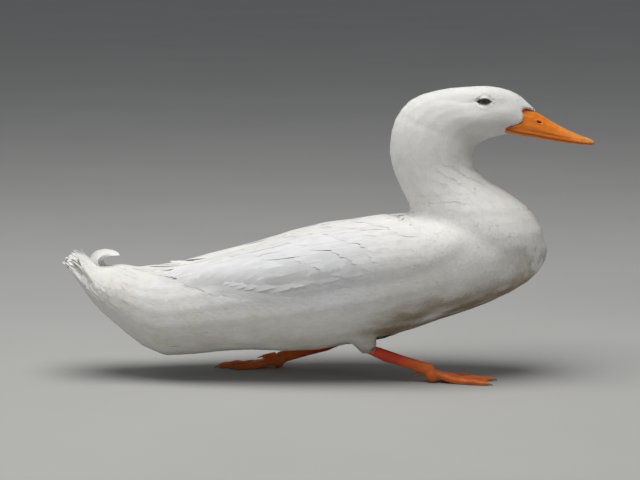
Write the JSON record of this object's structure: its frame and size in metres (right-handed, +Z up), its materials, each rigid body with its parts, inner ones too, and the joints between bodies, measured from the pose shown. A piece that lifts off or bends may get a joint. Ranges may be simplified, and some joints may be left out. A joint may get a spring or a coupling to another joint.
{
  "type": "domestic duck model",
  "caption": "Still, life-size model of a white domestic drake in mid-stride, with a curled tail feather and orange bill and feet.",
  "frame": {"origin": "on the floor under the middle of the object's box", "axes": "+X towards the bill, +Y towards the bird's left side, +Z up"},
  "size_m": [0.58, 0.1614, 0.3206],
  "materials": {
    "plumage": "soft matte white feathers",
    "bill": "satin horn, yellow-orange, paler along the ridge and at the tip",
    "leg_skin": "satin scaly skin, deep red-orange",
    "claw": "smooth pale horn",
    "eye": "wet, dark and glossy"
  },
  "bodies": {
    "root": {"head": "plumage", "neck": "plumage", "trunk": "plumage", "wing_left": "plumage", "wing_right": "plumage", "tail": "plumage", "curl_1": "plumage", "curl_2": "plumage", "curl_3": "plumage", "thigh_left": "plumage", "thigh_right": "plumage", "bill_upper": "bill", "bill_lower": "bill", "eye_left": "eye", "eye_right": "eye", "shank_left": "leg_skin", "foot_left": "leg_skin", "hind_toe_left": "leg_skin", "claw_left_inner": "claw", "claw_left_middle": "claw", "claw_left_outer": "claw", "claw_left_hind": "claw", "shank_right": "leg_skin", "foot_right": "leg_skin", "hind_toe_right": "leg_skin", "claw_right_inner": "claw", "claw_right_middle": "claw", "claw_right_outer": "claw", "claw_right_hind": "claw"}
  },
  "joints": []
}
